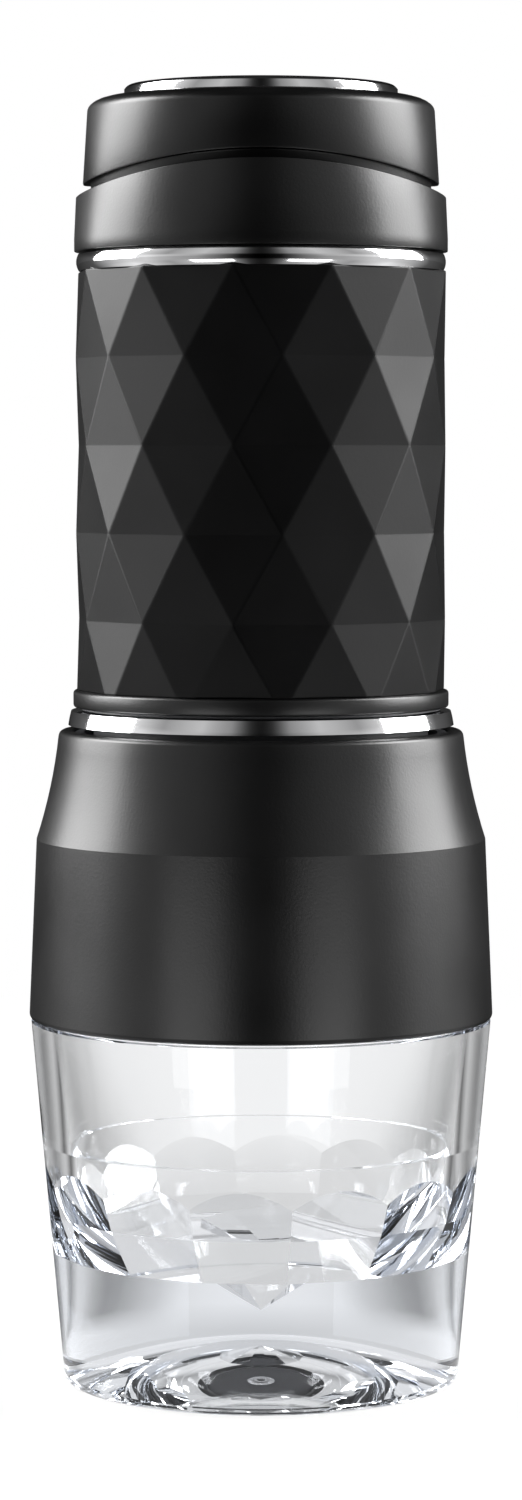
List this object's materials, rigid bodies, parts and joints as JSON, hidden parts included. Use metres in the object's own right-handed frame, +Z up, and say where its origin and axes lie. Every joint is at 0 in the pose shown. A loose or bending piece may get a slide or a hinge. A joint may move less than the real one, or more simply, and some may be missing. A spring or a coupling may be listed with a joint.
{
  "type": "handheld manual espresso maker",
  "caption": "Slim upright hand-pumped espresso maker: press knob over a turning lock collar, faceted grip tank, flared black brew head and thick clear faceted cup as its base.",
  "frame": {"origin": "on the table, under the centre of the cup's foot", "axes": "+Z up along the common axis of all round parts, -Y is the front, where the knob's arch is high"},
  "size_m": [0.0726, 0.0726, 0.202],
  "materials": {
    "clear_cup": "thick clear moulded tumbler plastic, polished",
    "satin_black": "fine-textured satin black plastic",
    "grip_black": "soft matt black moulded grip, flat facets",
    "bright_chrome": "bright plated trim",
    "inner_black": "plain moulded black nylon",
    "valve_grey": "plain moulded grey acetal",
    "stainless": "turned or pressed stainless steel",
    "seal_grey": "food-grade silicone, dark grey"
  },
  "bodies": {
    "cup": {"cup": "clear_cup"},
    "brew_head": {"brew_housing": "satin_black", "cup_seal": "seal_grey", "cup_grip_ring": "seal_grey", "brew_chamber": "inner_black", "chamber_screws": "stainless", "filter_basket": "stainless", "filter_screen": "stainless", "basket_gasket": "seal_grey", "seal_plate": "inner_black", "shower_screen": "stainless", "screen_screws": "stainless", "tank_gasket": "seal_grey", "outlet_nozzle": "stainless"},
    "joint_ring": {"joint_trim_ring": "bright_chrome"},
    "tank_body": {"water_tank": "inner_black", "grip_sleeve": "grip_black", "sleeve_band": "satin_black", "upper_trim_ring": "bright_chrome", "pump_cylinder": "valve_grey", "cylinder_seal": "seal_grey", "gland_cap": "inner_black", "rod_bush": "valve_grey", "rod_seal": "seal_grey", "gland_screws": "stainless", "valve_block": "valve_grey", "inlet_seat": "seal_grey", "outlet_spring": "stainless", "delivery_nozzle": "stainless", "nozzle_o_ring": "seal_grey", "lock_plate": "inner_black", "plate_screws": "stainless", "collar_retainer": "stainless", "retainer_screws": "stainless"},
    "collar": {"lock_collar": "satin_black", "key_plate": "inner_black", "collar_screws": "stainless", "return_spring": "stainless"},
    "plunger": {"knob_shell": "satin_black", "knob_trim_ring": "bright_chrome", "knob_cap": "satin_black", "plunger_sleeve": "inner_black", "knob_screws": "stainless", "pump_rod": "stainless", "rod_nut": "stainless", "piston": "valve_grey", "piston_seal": "seal_grey"},
    "inlet_ball": {"inlet_ball": "stainless"},
    "outlet_ball": {"outlet_ball": "stainless"}
  },
  "joints": [
    {"name": "head_lift", "type": "slide", "parent": "cup", "child": "brew_head", "axis": [0, 0, 1], "range_m": [0, 0.05]},
    {"name": "tank_lift", "type": "slide", "parent": "brew_head", "child": "joint_ring", "axis": [0, 0, 1], "range_m": [0, 0.004]},
    {"name": "tank_turn", "type": "hinge", "parent": "joint_ring", "child": "tank_body", "pos_m": [0, 0, 0.1], "axis": [0, 0, 1], "range_deg": [0, 180]},
    {"name": "lock_turn", "type": "hinge", "parent": "tank_body", "child": "collar", "pos_m": [0, 0, 0.178], "axis": [0, 0, 1], "range_deg": [0, 35]},
    {"name": "pump_stroke", "type": "slide", "parent": "collar", "child": "plunger", "axis": [0, 0, 1], "range_m": [0, 0.022], "deforming": ["return_spring"]},
    {"name": "inlet_valve", "type": "slide", "parent": "tank_body", "child": "inlet_ball", "axis": [0, 0, 1], "range_m": [0, 0.0014]},
    {"name": "outlet_valve", "type": "slide", "parent": "tank_body", "child": "outlet_ball", "axis": [0, 0, -1], "range_m": [0, 0.001], "stiffness_N_per_m": 60, "springref_m": -0.002, "deforming": ["outlet_spring"]}
  ],
  "couplings": [
    {"joint": "tank_lift", "follows": "tank_turn", "m_per_rad": 0.0012732}
  ]
}
